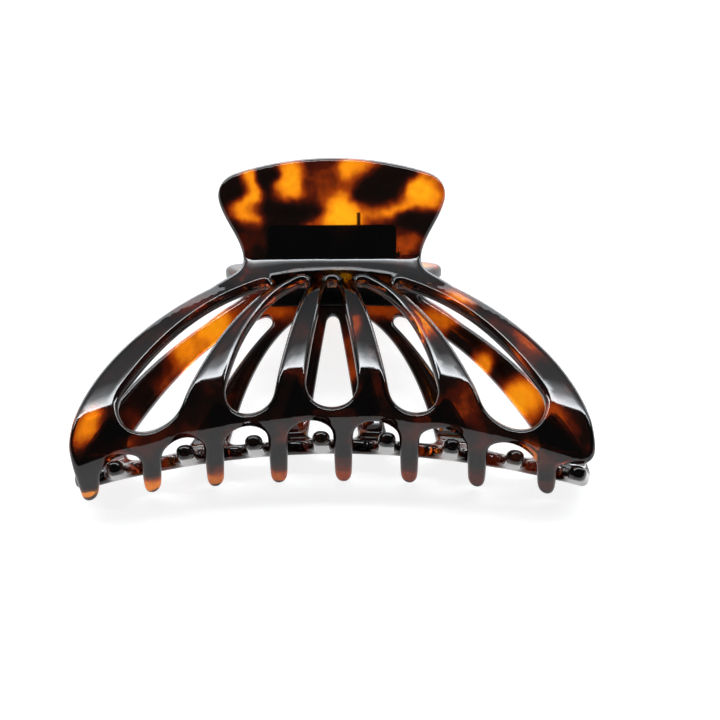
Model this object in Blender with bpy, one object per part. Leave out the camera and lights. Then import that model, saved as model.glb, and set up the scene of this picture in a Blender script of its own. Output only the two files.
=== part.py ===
"""A large hair claw clip of cut and bent acetate sheet, closed and lying on its back.

Two identical jaws face each other. Each is one flat blank (thumb handle, neck, fan with
five petal slots, eight teeth) bent over formers: a fold at the neck and a tight curl above
the teeth. A black steel plate is screwed inside each neck; its two ears hold the pin, and
a torsion spring on the pin pushes the handles apart.

Shapes are made in the clip's own frame: the pin is the X axis, Z runs up between the
handles, and Y is the clip's thickness, with the first jaw on the -Y side. The second jaw
is the first turned half a turn about Z. A parent empty on the pin then lays the clip down.
"""
import math

import bmesh
import bpy
import numpy as np
from mathutils import Matrix, Vector
from mathutils.geometry import delaunay_2d_cdt

MM = 0.001

# ---- driving sizes, millimetres and degrees -------------------------------------------
SHEET = 2.9               # acetate sheet thickness
EDGE_ROUND = 0.75         # rounding of the tumbled sheet edges
GAP = 0.3                 # clear space between neighbouring pieces

HANDLE_LEAN = 45.0        # each handle leans out from the middle plane
NECK_OFFSET = 4.9         # middle of the sheet to the middle plane, at the fold
FOLD_RADIUS = 4.0         # fold at the neck, at the middle of the sheet
SWEEP_LENGTH = 5.0        # below the fold the sheet sweeps out to its greatest lean,
SWEEP_LEAN = 20.0
BOW_LENGTH = 24.5         # then bows gently back over the length of the fan
BOW_LEAN = 1.0
CURL_RADIUS = 8.7         # curl above the teeth
CURL_END = 67.0           # the teeth lean this far in
BLANK_REACH = 80.0        # longer than any straight end of the blank
ARCH_DROP = 3.9e-3        # the fan's ends hang lower: drop in mm per mm squared
ARCH_INSET = 1.2e-3       # and lie closer to the middle plane
ARCH_BLEND = 6.0          # length below the fold over which the arch comes in

PIN_RADIUS = 1.2
PIN_HEAD_RADIUS = 1.9
PIN_HEAD_LENGTH = 0.8
PIN_TO_FOLD = 4.7         # height of the pin axis above the fold's lower end

PLATE_WIDTH = 26.0
PLATE_THICK = 0.8
PLATE_TOP = -7.7          # along the blank, measured down from the fold
PLATE_BOTTOM = 4.2
PLATE_CORNER = 1.0
PLATE_EDGE_ROUND = 0.15
EAR_RADIUS = 2.6
EAR_TOP = -6.5            # an ear's foot on the plate, along the blank
EAR_BOTTOM = 1.5
EAR_ROUND = 78.0          # degrees between an ear's foot and the start of its round end
EAR_SETBACK = 0.05        # outer ear's face inside the plate's side

WIRE = 0.9                # spring wire diameter
COIL_RADIUS = 2.3         # at the middle of the wire
COIL_HALF_LENGTH = 5.4
COIL_PITCH = 1.2
LEG_TOP = -9.9            # end of a spring leg, along the blank

SCREW_PLACE = 8.6         # sideways place of the plate screws
SCREW_LINE = -5.4         # their place along the blank
SCREW_HEAD_RADIUS = 1.5
SCREW_HEAD_HEIGHT = 0.6
SCREW_SHANK_RADIUS = 0.7
SCREW_DEPTH = 2.0         # shank length below the plate's outer face

# ---- the blank's outline, millimetres --------------------------------------------------
HANDLE_TOP = -21.5
HANDLE_TOP_RADIUS = 64.0
HANDLE_CORNER_RADIUS = 4.6
HANDLE_HALF_WIDTH = 22.9
NECK_HALF_WIDTH = 17.9
FAN_HALF_WIDTH = 50.4
NOTCH_TOP = 39.1          # lower edge of the band, between two teeth
NOTCH_DEPTH = 3.4         # height of the notch's rounded top
TOOTH_COUNT = 8
TOOTH_MIDDLE = 4          # the tooth next to the middle line
TOOTH_MIDDLE_PLACE = 2.1
TOOTH_STEP = 12.75        # the teeth stand slightly wider apart towards the blank end
TOOTH_STEP_GROWTH = 0.125
TOOTH_ROOT_HALF = 1.95
TOOTH_TIP_HALF = 1.65
TOOTH_TIP = 54.2          # tip of a middle tooth
TOOTH_TIP_RISE = 8.0      # the outermost tips end this much higher

# Each petal slot is swept by a circle that grows along a curved centre line:
# start, bend and end of the line, first and last radius, and how early it grows.
SLOTS = (
    ((0.0, 7.0), (0.0, 20.0), (0.0, 31.9), 1.3, 5.0, 0.30),
    ((6.0, 7.0), (12.3, 14.5), (15.7, 32.3), 1.3, 4.8, 0.95),
    ((13.6, 6.7), (25.5, 13.5), (34.5, 29.9), 1.3, 6.5, 0.35),
)

# ---- mesh fineness -----------------------------------------------------------------------
OUTLINE_STEP = 1.7
FILL_STEP = 2.6
PLATE_OUTLINE_STEP = 1.2
PLATE_FILL_STEP = 3.0
SHARP_ANGLE = 38.0        # edges that turn more than this are shaded as edges


# ---- plane curves --------------------------------------------------------------------------
def bezier(points, count):
    """Points on a Bezier curve of any degree, without the last one."""
    degree = len(points) - 1
    path = []
    for i in range(count):
        t = i / count
        weights = [math.comb(degree, k) * t ** k * (1 - t) ** (degree - k) for k in range(degree + 1)]
        path.append(tuple(sum(w * p[axis] for w, p in zip(weights, points)) for axis in range(2)))
    return path


def arc(centre, radius_u, radius_w, start, end, count):
    """Points on an elliptical arc between two angles in degrees, without the last one."""
    path = []
    for i in range(count):
        angle = math.radians(start + (end - start) * i / count)
        path.append((centre[0] + radius_u * math.cos(angle), centre[1] + radius_w * math.sin(angle)))
    return path


def evenly(path, step):
    """A closed path walked at an even step; its corners are all rounded, so none is lost."""
    points = np.array(path + path[:1])
    lengths = np.linalg.norm(np.diff(points, axis=0), axis=1)
    along = np.concatenate(([0.0], np.cumsum(lengths)))
    count = max(8, int(round(along[-1] / step)))
    places = np.arange(count) * along[-1] / count
    return np.stack([np.interp(places, along, points[:, axis]) for axis in range(2)], axis=1)


def slot_outline(start, bend, end, first_radius, last_radius, growth, side):
    """The outline swept by a growing circle along a curved centre line."""
    line = np.array(bezier((start, bend, end), 40) + [end])
    share = np.linspace(0.0, 1.0, len(line))
    radius = first_radius + (last_radius - first_radius) * share * (1 + growth * (1 - share))
    tangent = np.gradient(line, axis=0)
    tangent /= np.linalg.norm(tangent, axis=1)[:, None]
    normal = np.stack([-tangent[:, 1], tangent[:, 0]], axis=1)
    left = line + normal * radius[:, None]
    right = line - normal * radius[:, None]
    first_turn = math.degrees(math.atan2(*normal[0][::-1]))
    last_turn = math.degrees(math.atan2(*-normal[-1][::-1]))
    top = arc(line[0], first_radius, first_radius, first_turn, first_turn + 180.0, 10)
    bottom = arc(line[-1], last_radius, last_radius, last_turn, last_turn + 180.0, 20)
    path = top + [tuple(p) for p in right[1:]] + bottom + [tuple(p) for p in left[:0:-1]]
    return [(side * u, w) for u, w in path]


def tooth_place(index):
    steps = index - TOOTH_MIDDLE
    return TOOTH_MIDDLE_PLACE + TOOTH_STEP * steps + TOOTH_STEP_GROWTH * steps ** 2


def tooth_tip(place):
    return TOOTH_TIP - TOOTH_TIP_RISE * (place / FAN_HALF_WIDTH) ** 2


def handle_side():
    """Right side of the blank from the middle of the handle's top edge to the fan's side."""
    corner_u = HANDLE_HALF_WIDTH - HANDLE_CORNER_RADIUS
    top_centre_w = HANDLE_TOP + HANDLE_TOP_RADIUS
    turn = math.degrees(math.asin(corner_u / (HANDLE_TOP_RADIUS - HANDLE_CORNER_RADIUS)))
    inner = HANDLE_TOP_RADIUS - HANDLE_CORNER_RADIUS
    corner_w = top_centre_w - inner * math.cos(math.radians(turn))
    path = arc((0.0, top_centre_w), HANDLE_TOP_RADIUS, HANDLE_TOP_RADIUS, -90.0, -90.0 + turn, 12)
    path += arc((corner_u, corner_w), HANDLE_CORNER_RADIUS, HANDLE_CORNER_RADIUS, -90.0 + turn, 12.0, 10)
    last = math.radians(12.0)
    side_start = (
        corner_u + HANDLE_CORNER_RADIUS * math.cos(last),
        corner_w + HANDLE_CORNER_RADIUS * math.sin(last),
    )
    path += bezier((side_start, (21.6, -8.4), (NECK_HALF_WIDTH, -5.0), (NECK_HALF_WIDTH, -0.6)), 12)
    path += bezier(((NECK_HALF_WIDTH, -0.6), (NECK_HALF_WIDTH, 1.2), (18.5, 1.9), (19.5, 2.35)), 6)
    path += bezier(((19.5, 2.35), (38.0, 10.5), (FAN_HALF_WIDTH - 0.7, 22.0), (FAN_HALF_WIDTH, 34.5)), 30)
    return path


def lower_edge():
    """Lower edge from right to left: the rounded blank corner, then teeth and notches."""
    last = tooth_place(TOOTH_COUNT - 1)
    root = NOTCH_TOP + NOTCH_DEPTH
    path = bezier(((FAN_HALF_WIDTH, 34.5), (FAN_HALF_WIDTH + 0.2, 37.4), (48.8, 38.9), (46.4, 39.4)), 8)
    path += bezier(((46.4, 39.4), (44.6, 39.8), (last + TOOTH_ROOT_HALF, 40.4), (last + TOOTH_ROOT_HALF, 42.6)), 6)
    for index in reversed(range(TOOTH_COUNT)):
        place = tooth_place(index)
        tip = tooth_tip(place) - TOOTH_TIP_HALF
        path += arc((place, tip), TOOTH_TIP_HALF, TOOTH_TIP_HALF, 0.0, 180.0, 10)
        path.append((place - TOOTH_TIP_HALF, tip))
        if index == 0:
            break
        middle = (place + tooth_place(index - 1)) / 2
        reach = (place - tooth_place(index - 1)) / 2 - TOOTH_ROOT_HALF
        path += arc((middle, root), reach, -NOTCH_DEPTH, 0.0, 180.0, 14)
        path.append((middle - reach, root))
    return path


def blank_outlines():
    """The blank's outer outline, then its five slots, as even paths in the flat sheet."""
    right = handle_side()
    left = [(-u, w) for u, w in right[1:]]
    outer = evenly(right + lower_edge() + left[::-1], OUTLINE_STEP)
    outlines = [outer]
    for start, bend, end, first, last, growth in SLOTS:
        sides = (1,) if start[0] == 0.0 else (1, -1)
        for side in sides:
            path = slot_outline(start, bend, end, first, last, growth, side)
            outlines.append(evenly(path, OUTLINE_STEP))
    return outlines


# ---- the bent sheet --------------------------------------------------------------------------
def bends():
    """Runs of the sheet up and down from the fold's lower end: direction, lengths, end leans."""
    fold_length = FOLD_RADIUS * math.radians(HANDLE_LEAN)
    curl_length = CURL_RADIUS * math.radians(BOW_LEAN + CURL_END)
    handle = ((fold_length, -HANDLE_LEAN), (BLANK_REACH, -HANDLE_LEAN))
    fan = (
        (SWEEP_LENGTH, SWEEP_LEAN),
        (BOW_LENGTH, BOW_LEAN),
        (curl_length, -CURL_END),
        (BLANK_REACH, -CURL_END),
    )
    return (-1, handle), (1, fan)


def bend_profile(w):
    """Height, and distance from the middle plane, at a length below the fold's lower end.

    Each run is an arc whose lean changes evenly, so its chord points along its middle lean.
    """
    height = -PIN_TO_FOLD
    distance = NECK_OFFSET
    for direction, runs in bends():
        rest = max(direction * w, 0.0)
        lean = 0.0
        for length, end_lean in runs:
            run = min(rest, length)
            half_turn = math.radians(end_lean - lean) / 2 * run / length
            chord = direction * run * np.sinc(half_turn / math.pi)
            height -= chord * math.cos(math.radians(lean) + half_turn)
            distance += chord * math.sin(math.radians(lean) + half_turn)
            rest -= run
            lean = end_lean
    return height, distance


def sheet_point(u, w):
    """A point of the bent sheet's middle surface, in millimetres."""
    height, distance = bend_profile(w)
    share = min(max(w / ARCH_BLEND, 0.0), 1.0)
    share = share * share * (3 - 2 * share)
    return Vector((
        u,
        -(distance - share * ARCH_INSET * u * u),
        height - share * ARCH_DROP * u * u,
    ))


def bent(u, w, outward):
    """A point of the bent sheet at a distance outward from its middle surface."""
    step = 0.01
    across = sheet_point(u + step, w) - sheet_point(u - step, w)
    along = sheet_point(u, w + step) - sheet_point(u, w - step)
    normal = along.cross(across).normalized()
    return sheet_point(u, w) + normal * outward


def inset(loop, distance):
    """A closed loop moved into the sheet; loops run with the sheet on their left."""
    before = np.roll(loop, 1, axis=0)
    after = np.roll(loop, -1, axis=0)
    tangent = after - before
    tangent /= np.linalg.norm(tangent, axis=1)[:, None]
    normal = np.stack([-tangent[:, 1], tangent[:, 0]], axis=1)
    return loop + normal * distance


def signed_area(loop):
    after = np.roll(loop, -1, axis=0)
    return 0.5 * float(np.sum(loop[:, 0] * after[:, 1] - after[:, 0] * loop[:, 1]))


def inside(points, loops):
    """Which points lie in the sheet, by counting the outline edges to their right."""
    crossings = np.zeros(len(points), dtype=int)
    for loop in loops:
        after = np.roll(loop, -1, axis=0)
        for (u0, w0), (u1, w1) in zip(loop, after):
            if w0 == w1:
                continue
            spans = (points[:, 1] >= min(w0, w1)) & (points[:, 1] < max(w0, w1))
            at = u0 + (points[:, 1] - w0) * (u1 - u0) / (w1 - w0)
            crossings += spans & (at > points[:, 0])
    return crossings % 2 == 1


def fill_points(loops, step, margin):
    """A staggered grid of points in the sheet, clear of its outlines."""
    low = loops[0].min(axis=0)
    high = loops[0].max(axis=0)
    grid = []
    for row, w in enumerate(np.arange(low[1], high[1], step * math.sqrt(3) / 2)):
        shift = (row % 2) * step / 2
        grid += [(u, w) for u in np.arange(low[0] + shift, high[0], step)]
    grid = np.array(grid)
    grid = grid[inside(grid, loops)]
    edge = np.concatenate(loops)
    distance = np.linalg.norm(grid[:, None, :] - edge[None, :, :], axis=2).min(axis=1)
    return grid[distance > margin]


def sheet_mesh(name, loops, thickness, offset, edge_round, fill_step):
    """A closed bent sheet from its flat outlines, with chamfered edges."""
    loops = [loop if (signed_area(loop) > 0) == (i == 0) else loop[::-1] for i, loop in enumerate(loops)]
    face_loops = [inset(loop, edge_round) for loop in loops]
    fill = fill_points(face_loops, fill_step, 0.6 * fill_step)
    flat = [Vector(p) for loop in face_loops for p in loop]
    edges = []
    start = 0
    for loop in face_loops:
        count = len(loop)
        edges += [(start + i, start + (i + 1) % count) for i in range(count)]
        start += count
    flat += [Vector(p) for p in fill]
    only_inside = 1
    places, _, triangles, _, _, _ = delaunay_2d_cdt(flat, edges, [], only_inside, 1e-6)
    middles = np.array([sum((places[i] for i in face), Vector((0.0, 0.0))) / 3 for face in triangles])
    triangles = [face for face, kept in zip(triangles, inside(middles, face_loops)) if kept]
    half = thickness / 2
    mesh = bpy.data.meshes.new(name)
    bm = bmesh.new()
    outer = [bm.verts.new(bent(p.x, p.y, offset + half) * MM) for p in places]
    inner = [bm.verts.new(bent(p.x, p.y, offset - half) * MM) for p in places]
    for a, b, c in triangles:
        bm.faces.new((outer[a], outer[b], outer[c]))
        bm.faces.new((inner[c], inner[b], inner[a]))
    start = 0
    for loop in loops:
        count = len(loop)
        high = [bm.verts.new(bent(u, w, offset + half - edge_round) * MM) for u, w in loop]
        low = [bm.verts.new(bent(u, w, offset - half + edge_round) * MM) for u, w in loop]
        rings = (outer[start:start + count], high, low, inner[start:start + count])
        for upper, lower in zip(rings, rings[1:]):
            for i in range(count):
                j = (i + 1) % count
                bm.faces.new((upper[j], upper[i], lower[i], lower[j]))
        start += count
    bmesh.ops.recalc_face_normals(bm, faces=bm.faces)
    bm.to_mesh(mesh)
    bm.free()
    mesh.shade_smooth()
    mesh.set_sharp_from_angle(angle=math.radians(SHARP_ANGLE))
    return mesh


# ---- solids ------------------------------------------------------------------------------------
def evaluated_mesh(obj, name):
    """The object's mesh with its modifiers applied, and the object removed."""
    bpy.context.view_layer.update()
    graph = bpy.context.evaluated_depsgraph_get()
    mesh = bpy.data.meshes.new_from_object(obj.evaluated_get(graph), depsgraph=graph)
    mesh.name = name
    bpy.data.objects.remove(obj)
    return mesh


def combine(mesh, tool_mesh, operation):
    """The exact Boolean of two meshes that share one frame."""
    body = bpy.data.objects.new("body", mesh)
    tool = bpy.data.objects.new("tool", tool_mesh)
    for obj in (body, tool):
        bpy.context.scene.collection.objects.link(obj)
    boolean = body.modifiers.new("combine", "BOOLEAN")
    boolean.operation = operation
    boolean.solver = "EXACT"
    boolean.object = tool
    result = evaluated_mesh(body, mesh.name)
    bpy.data.objects.remove(tool)
    return result


def turned(name, profile, sides):
    """A solid of revolution about X from (x, radius) points that start and end on the axis."""
    bm = bmesh.new()
    previous = bm.verts.new((profile[0][0] * MM, 0.0, 0.0))
    edges = []
    for x, radius in profile[1:]:
        current = bm.verts.new((x * MM, 0.0, radius * MM))
        edges.append(bm.edges.new((previous, current)))
        previous = current
    bmesh.ops.spin(
        bm,
        geom=bm.verts[:] + edges,
        cent=(0.0, 0.0, 0.0),
        axis=(1.0, 0.0, 0.0),
        angle=math.tau,
        steps=sides,
        use_merge=True,
    )
    bmesh.ops.remove_doubles(bm, verts=bm.verts, dist=1e-7)
    bmesh.ops.recalc_face_normals(bm, faces=bm.faces)
    mesh = bpy.data.meshes.new(name)
    bm.to_mesh(mesh)
    bm.free()
    mesh.shade_smooth()
    mesh.set_sharp_from_angle(angle=math.radians(SHARP_ANGLE))
    return mesh


def sheet_frame(u, w):
    """The frame of a piece set square on the bent sheet: X points outward through it."""
    outward = (bent(u, w, 1.0) - bent(u, w, 0.0)).normalized()
    side = Vector((1.0, 0.0, 0.0))
    along = outward.cross(side).normalized()
    side = along.cross(outward)
    turn = Matrix((outward, side, along)).transposed().to_4x4()
    return Matrix.Translation(bent(u, w, 0.0) * MM) @ turn


def placed(mesh, frame):
    mesh.transform(frame)
    return mesh


def jaw_mesh():
    """One jaw: the bent blank, with two blind screw holes from its inner side."""
    mesh = sheet_mesh("jaw", blank_outlines(), SHEET, 0.0, EDGE_ROUND, FILL_STEP)
    for side in (-1, 1):
        hole_end = -SHEET / 2 - GAP - PLATE_THICK + SCREW_DEPTH + GAP
        radius = SCREW_SHANK_RADIUS + GAP
        hole = turned("hole", ((-4.0, 0.0), (-4.0, radius), (hole_end, radius), (hole_end, 0.0)), 12)
        placed(hole, sheet_frame(side * SCREW_PLACE, SCREW_LINE))
        mesh = combine(mesh, hole, "DIFFERENCE")
    mesh.name = "jaw"
    return mesh


def plate_offset():
    return -(SHEET / 2 + GAP + PLATE_THICK / 2)


def plate_outlines():
    """The hinge plate's rounded rectangle and its two screw holes."""
    corner = PLATE_CORNER
    half = PLATE_WIDTH / 2 - corner
    path = arc((half, PLATE_BOTTOM - corner), corner, corner, 0.0, 90.0, 4)
    path += arc((-half, PLATE_BOTTOM - corner), corner, corner, 90.0, 180.0, 4)
    path += arc((-half, PLATE_TOP + corner), corner, corner, 180.0, 270.0, 4)
    path += arc((half, PLATE_TOP + corner), corner, corner, 270.0, 360.0, 4)
    outlines = [evenly(path, PLATE_OUTLINE_STEP)]
    radius = SCREW_SHANK_RADIUS + GAP
    for side in (-1, 1):
        hole = arc((side * SCREW_PLACE, SCREW_LINE), radius, radius, 0.0, 360.0, 12)
        outlines.append(np.array(hole))
    return outlines


def ear_mesh(left, right):
    """One ear of the hinge plate, from the plate to around the pin, with the pin's hole."""
    feet = np.linspace(EAR_TOP, EAR_BOTTOM, 9)
    path = [bent(0.0, w, plate_offset()) for w in feet]
    first = math.degrees(math.atan2(path[0].z, path[0].y))
    last = math.degrees(math.atan2(path[-1].z, path[-1].y)) % 360.0
    open_side = arc((0.0, 0.0), EAR_RADIUS, EAR_RADIUS, first - EAR_ROUND, last - 360.0 + EAR_ROUND, 16)
    outline = [(p.y, p.z) for p in path[::-1]] + open_side
    bm = bmesh.new()
    hole = arc((0.0, 0.0), PIN_RADIUS + GAP, PIN_RADIUS + GAP, 360.0, 0.0, 20)
    loops = []
    for points in (outline, hole):
        loops.append([bm.verts.new((left * MM, y * MM, z * MM)) for y, z in points])
    edges = []
    for loop in loops:
        edges += [bm.edges.new(pair) for pair in zip(loop, loop[1:] + loop[:1])]
    faces = bmesh.ops.triangle_fill(bm, use_beauty=True, edges=edges)["geom"]
    faces = [face for face in faces if isinstance(face, bmesh.types.BMFace)]
    grown = bmesh.ops.extrude_face_region(bm, geom=faces)["geom"]
    moved = [vert for vert in grown if isinstance(vert, bmesh.types.BMVert)]
    bmesh.ops.translate(bm, verts=moved, vec=((right - left) * MM, 0.0, 0.0))
    bmesh.ops.recalc_face_normals(bm, faces=bm.faces)
    mesh = bpy.data.meshes.new("ear")
    bm.to_mesh(mesh)
    bm.free()
    return mesh


def plate_mesh():
    """The hinge plate with two ears. The second plate's ears pass outside and inside them."""
    mesh = sheet_mesh("hinge_plate", plate_outlines(), PLATE_THICK, plate_offset(), PLATE_EDGE_ROUND, PLATE_FILL_STEP)
    outer_edge = PLATE_WIDTH / 2 - EAR_SETBACK
    inner_edge = outer_edge - PLATE_THICK - GAP
    mesh = combine(mesh, ear_mesh(-outer_edge, -outer_edge + PLATE_THICK), "UNION")
    mesh = combine(mesh, ear_mesh(inner_edge - PLATE_THICK, inner_edge), "UNION")
    mesh.name = "hinge_plate"
    return mesh


def pin_mesh():
    """The hinge pin with a domed head riveted on each end."""
    reach = PLATE_WIDTH / 2 + GAP
    end = reach + PIN_HEAD_LENGTH
    half = [(reach, PIN_RADIUS), (reach, PIN_HEAD_RADIUS)]
    for angle in (25.0, 50.0, 75.0):
        x = reach + 0.25 + (PIN_HEAD_LENGTH - 0.25) * math.sin(math.radians(angle))
        half.append((x, PIN_HEAD_RADIUS * math.cos(math.radians(angle * 0.9))))
    half.append((end, 0.0))
    mirrored = [(-x, radius) for x, radius in half[::-1]]
    return turned("hinge_pin", mirrored + half, 20)


def screw_mesh():
    """A plate screw along X: a low domed head, and a shank into the acetate."""
    under_head = -(SHEET / 2 + GAP + PLATE_THICK + GAP)
    top = under_head - SCREW_HEAD_HEIGHT
    tip = -(SHEET / 2 + GAP + PLATE_THICK) + SCREW_DEPTH
    profile = (
        (top, 0.0),
        (top + 0.08, SCREW_HEAD_RADIUS * 0.65),
        (top + 0.3, SCREW_HEAD_RADIUS),
        (under_head, SCREW_HEAD_RADIUS),
        (under_head, SCREW_SHANK_RADIUS),
        (tip - 0.3, SCREW_SHANK_RADIUS),
        (tip, 0.0),
    )
    return turned("plate_screw", profile, 16)


def spring_path():
    """The spring's wire: a leg up one plate, the coil along the pin, a leg up the other."""
    lean = math.radians(HANDLE_LEAN)
    turns = round(2 * COIL_HALF_LENGTH / COIL_PITCH)
    leg = -LEG_TOP
    toward_front = math.radians(180.0) + lean
    sweep = math.tau * turns + math.pi - 2 * lean
    steps = turns * 14
    path = []
    for share in (1.0, 0.75, 0.5, 0.25):
        along = leg * share
        y = COIL_RADIUS * math.cos(toward_front) - along * math.sin(lean)
        z = COIL_RADIUS * math.sin(toward_front) + along * math.cos(lean)
        path.append((COIL_HALF_LENGTH, y, z))
    for i in range(steps + 1):
        angle = toward_front + sweep * i / steps
        x = COIL_HALF_LENGTH * (1 - 2 * i / steps)
        path.append((x, COIL_RADIUS * math.cos(angle), COIL_RADIUS * math.sin(angle)))
    path += [(-x, -y, z) for x, y, z in path[3::-1]]
    return path


def spring_curve():
    """The torsion spring as a curve with round wire and filled ends."""
    curve = bpy.data.curves.new("torsion_spring", "CURVE")
    curve.dimensions = "3D"
    curve.bevel_depth = WIRE / 2 * MM
    curve.bevel_resolution = 2
    curve.use_fill_caps = True
    path = spring_path()
    spline = curve.splines.new("POLY")
    spline.points.add(len(path) - 1)
    for point, place in zip(spline.points, path):
        point.co = (place[0] * MM, place[1] * MM, place[2] * MM, 1.0)
    return curve


# ---- finishes ------------------------------------------------------------------------------------
def finish(name, colour, roughness, metallic):
    material = bpy.data.materials.new(name)
    material.use_nodes = True
    shader = material.node_tree.nodes["Principled BSDF"]
    shader.inputs["Base Color"].default_value = (*colour, 1.0)
    shader.inputs["Roughness"].default_value = roughness
    shader.inputs["Metallic"].default_value = metallic
    return material


# ---- assembly --------------------------------------------------------------------------------------
def resting_lean(points):
    """Angle of the clip's own Z axis above the table when it lies on its back."""
    handles = points[points[:, 2] > 0.0]
    bodies = points[points[:, 2] <= 0.0]
    low, high = 0.0, math.radians(40.0)
    for _ in range(40):
        lean = (low + high) / 2
        down = np.array((0.0, math.cos(lean), -math.sin(lean)))
        if (handles @ down).max() > (bodies @ down).max():
            low = lean
        else:
            high = lean
    return lean


def lay_down(points):
    """The pin's place and turn that lay the clip on its back, centred over the origin."""
    lean = resting_lean(points)
    turn = Matrix.Rotation(lean - math.pi / 2, 3, "X")
    lying = points @ np.array(turn).T
    low = lying.min(axis=0)
    high = lying.max(axis=0)
    place = Vector((-(low[0] + high[0]) / 2, -(low[1] + high[1]) / 2, -low[2]))
    return place, turn.to_euler()


def add(name, data, material, parent, half_turn=False):
    obj = bpy.data.objects.new(name, data)
    bpy.context.scene.collection.objects.link(obj)
    if not data.materials:
        data.materials.append(material)
    obj.parent = parent
    if half_turn:
        obj.rotation_euler = (0.0, 0.0, math.pi)
    return obj


def main():
    for obj in list(bpy.data.objects):
        bpy.data.objects.remove(obj)

    acetate = finish("tortoiseshell_acetate", (0.09, 0.022, 0.006), 0.12, 0.0)
    black_steel = finish("black_steel", (0.012, 0.012, 0.013), 0.4, 0.8)
    bright_steel = finish("bright_steel", (0.55, 0.55, 0.56), 0.28, 1.0)

    jaw = jaw_mesh()
    first = np.array([tuple(vert.co) for vert in jaw.vertices])
    second = first * np.array((-1.0, -1.0, 1.0))

    pin_axis = bpy.data.objects.new("pin_axis", None)
    bpy.context.scene.collection.objects.link(pin_axis)
    pin_axis.location, pin_axis.rotation_euler = lay_down(np.concatenate((first, second)))

    plate = plate_mesh()
    screw = screw_mesh()
    for jaw_name, half_turn in (("upper", False), ("lower", True)):
        add(jaw_name + "_jaw", jaw, acetate, pin_axis, half_turn)
        add(jaw_name + "_hinge_plate", plate, black_steel, pin_axis, half_turn)
        for side_name, side in (("left", -1), ("right", 1)):
            set_in = placed(screw.copy(), sheet_frame(side * SCREW_PLACE, SCREW_LINE))
            add(jaw_name + "_plate_screw_" + side_name, set_in, black_steel, pin_axis, half_turn)
    add("hinge_pin", pin_mesh(), bright_steel, pin_axis)
    add("torsion_spring", spring_curve(), bright_steel, pin_axis)


main()
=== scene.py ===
"""The looks of a large tortoiseshell claw clip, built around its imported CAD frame."""
import math

import bmesh
import bpy
import numpy as np
from mathutils import Matrix, Vector
from mathutils.geometry import delaunay_2d_cdt


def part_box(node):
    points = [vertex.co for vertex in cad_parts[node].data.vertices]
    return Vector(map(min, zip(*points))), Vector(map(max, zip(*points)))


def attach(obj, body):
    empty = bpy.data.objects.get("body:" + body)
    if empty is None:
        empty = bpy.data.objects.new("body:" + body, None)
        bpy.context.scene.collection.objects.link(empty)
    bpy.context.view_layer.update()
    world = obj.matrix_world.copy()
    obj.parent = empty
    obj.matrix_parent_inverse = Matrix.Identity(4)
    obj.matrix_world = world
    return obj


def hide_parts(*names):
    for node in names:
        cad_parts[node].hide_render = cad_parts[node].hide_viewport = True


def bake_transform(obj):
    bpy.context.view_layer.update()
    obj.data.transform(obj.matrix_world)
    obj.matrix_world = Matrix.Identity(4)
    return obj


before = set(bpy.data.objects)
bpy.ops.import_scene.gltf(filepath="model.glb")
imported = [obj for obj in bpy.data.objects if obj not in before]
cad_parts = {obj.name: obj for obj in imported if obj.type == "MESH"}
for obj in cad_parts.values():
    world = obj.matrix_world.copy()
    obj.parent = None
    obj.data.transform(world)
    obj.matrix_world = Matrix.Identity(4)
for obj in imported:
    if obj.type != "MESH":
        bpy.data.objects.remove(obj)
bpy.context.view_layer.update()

MM = 0.001

# ---- the blank and its bends, as in the CAD model: millimetres and degrees ----------------
SHEET = 2.9
EDGE_ROUND = 1.1
GAP = 0.3
HANDLE_LEAN = 45.0
NECK_OFFSET = 4.9
FOLD_RADIUS = 4.0
SWEEP_LENGTH = 5.0
SWEEP_LEAN = 20.0
BOW_LENGTH = 24.5
BOW_LEAN = 1.0
CURL_RADIUS = 8.7
CURL_END = 67.0
BLANK_REACH = 80.0
ARCH_DROP = 3.9e-3
ARCH_INSET = 1.2e-3
ARCH_BLEND = 6.0

PIN_RADIUS = 1.2
PIN_HEAD_RADIUS = 1.9
PIN_HEAD_LENGTH = 0.8
PIN_HEAD_RIM = 0.25       # straight part of the head, under its dome
PIN_HEAD_CHAMFER = 0.1
PIN_TO_FOLD = 4.7
PLATE_WIDTH = 26.0
PLATE_THICK = 0.8
PLATE_TOP = -7.7
PLATE_BOTTOM = 4.2
PLATE_CORNER = 1.0
PLATE_EDGE_ROUND = 0.2
EAR_RADIUS = 2.6
EAR_TOP = -6.5
EAR_BOTTOM = 1.5
EAR_ROUND = 78.0
EAR_SETBACK = 0.05
WIRE = 0.9
COIL_RADIUS = 2.3
COIL_HALF_LENGTH = 5.4
COIL_PITCH = 1.2
LEG_TOP = -9.9
LEG_FOOT = 0.8            # last point of a leg above where it meets the coil
SCREW_PLACE = 8.6
SCREW_LINE = -5.4
SCREW_HEAD_RADIUS = 1.5
SCREW_HEAD_HEIGHT = 0.6
SCREW_HEAD_DOME = 0.4
SCREW_HEAD_CHAMFER = 0.05
SCREW_POINT = 0.3         # length of the shank's pointed end
SCREW_SLOT_WIDTH = 0.38
SCREW_SLOT_FLOOR = 0.35   # depth of the driver slot below the head's top
SCREW_SLOT_REACH = 0.25   # half the height of the box that cuts it
SCREW_SHANK_RADIUS = 0.7
SCREW_DEPTH = 2.0

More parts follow.
